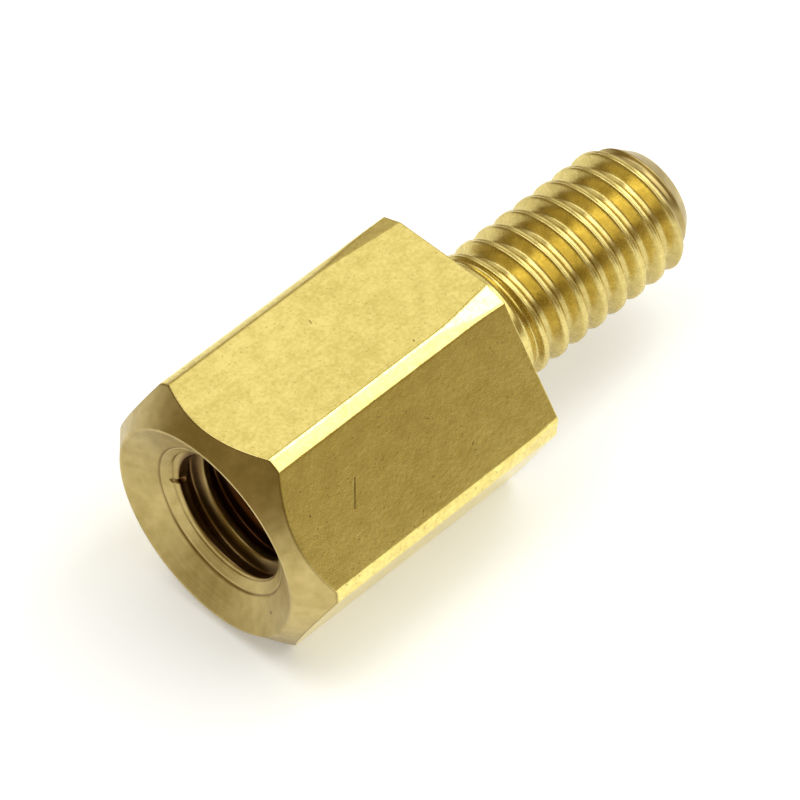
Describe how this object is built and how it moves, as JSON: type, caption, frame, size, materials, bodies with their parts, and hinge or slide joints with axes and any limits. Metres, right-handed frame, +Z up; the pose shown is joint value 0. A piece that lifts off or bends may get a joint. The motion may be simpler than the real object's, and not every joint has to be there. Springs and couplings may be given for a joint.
{
  "type": "hex standoff",
  "caption": "Short brass hexagon spacer, with a countersunk tapped hole in its chamfered end and a threaded stud on its flat shoulder, that holds a board clear of a panel.",
  "frame": {"origin": "middle of the part's box, on the surface that the lower flat rests on", "axes": "+X along the part's axis from the tapped end to the stud's tip, +Z up from the lower flat to the upper flat, +Y across the corners"},
  "size_m": [0.0102, 0.005, 0.0045],
  "materials": {
    "brass": "bright turned and drawn brass, with fine mottling on the flats"
  },
  "bodies": {
    "root": {"hex_standoff": "brass"}
  },
  "joints": []
}
